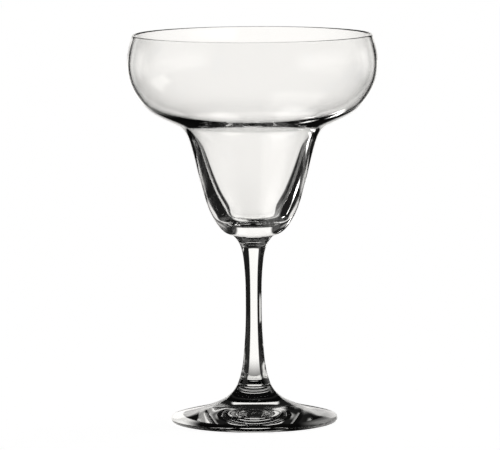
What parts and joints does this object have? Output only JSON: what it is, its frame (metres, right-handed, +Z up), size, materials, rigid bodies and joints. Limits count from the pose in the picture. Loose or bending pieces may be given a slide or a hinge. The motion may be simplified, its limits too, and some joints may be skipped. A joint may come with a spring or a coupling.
{
  "type": "margarita glass",
  "caption": "Clear stemmed glass with a wide rounded bowl over a narrow tapering well, on a slim stem and a flared round foot.",
  "frame": {"origin": "centre of the face that the foot rests on", "axes": "+Z up along the axis that the bowl, stem and foot are turned about; the glass is round, so X and Y are free"},
  "size_m": [0.1108, 0.1108, 0.172],
  "materials": {
    "clear_glass": "clear, fire-polished"
  },
  "bodies": {
    "root": {"bowl": "clear_glass", "stem": "clear_glass", "foot": "clear_glass"}
  },
  "joints": []
}
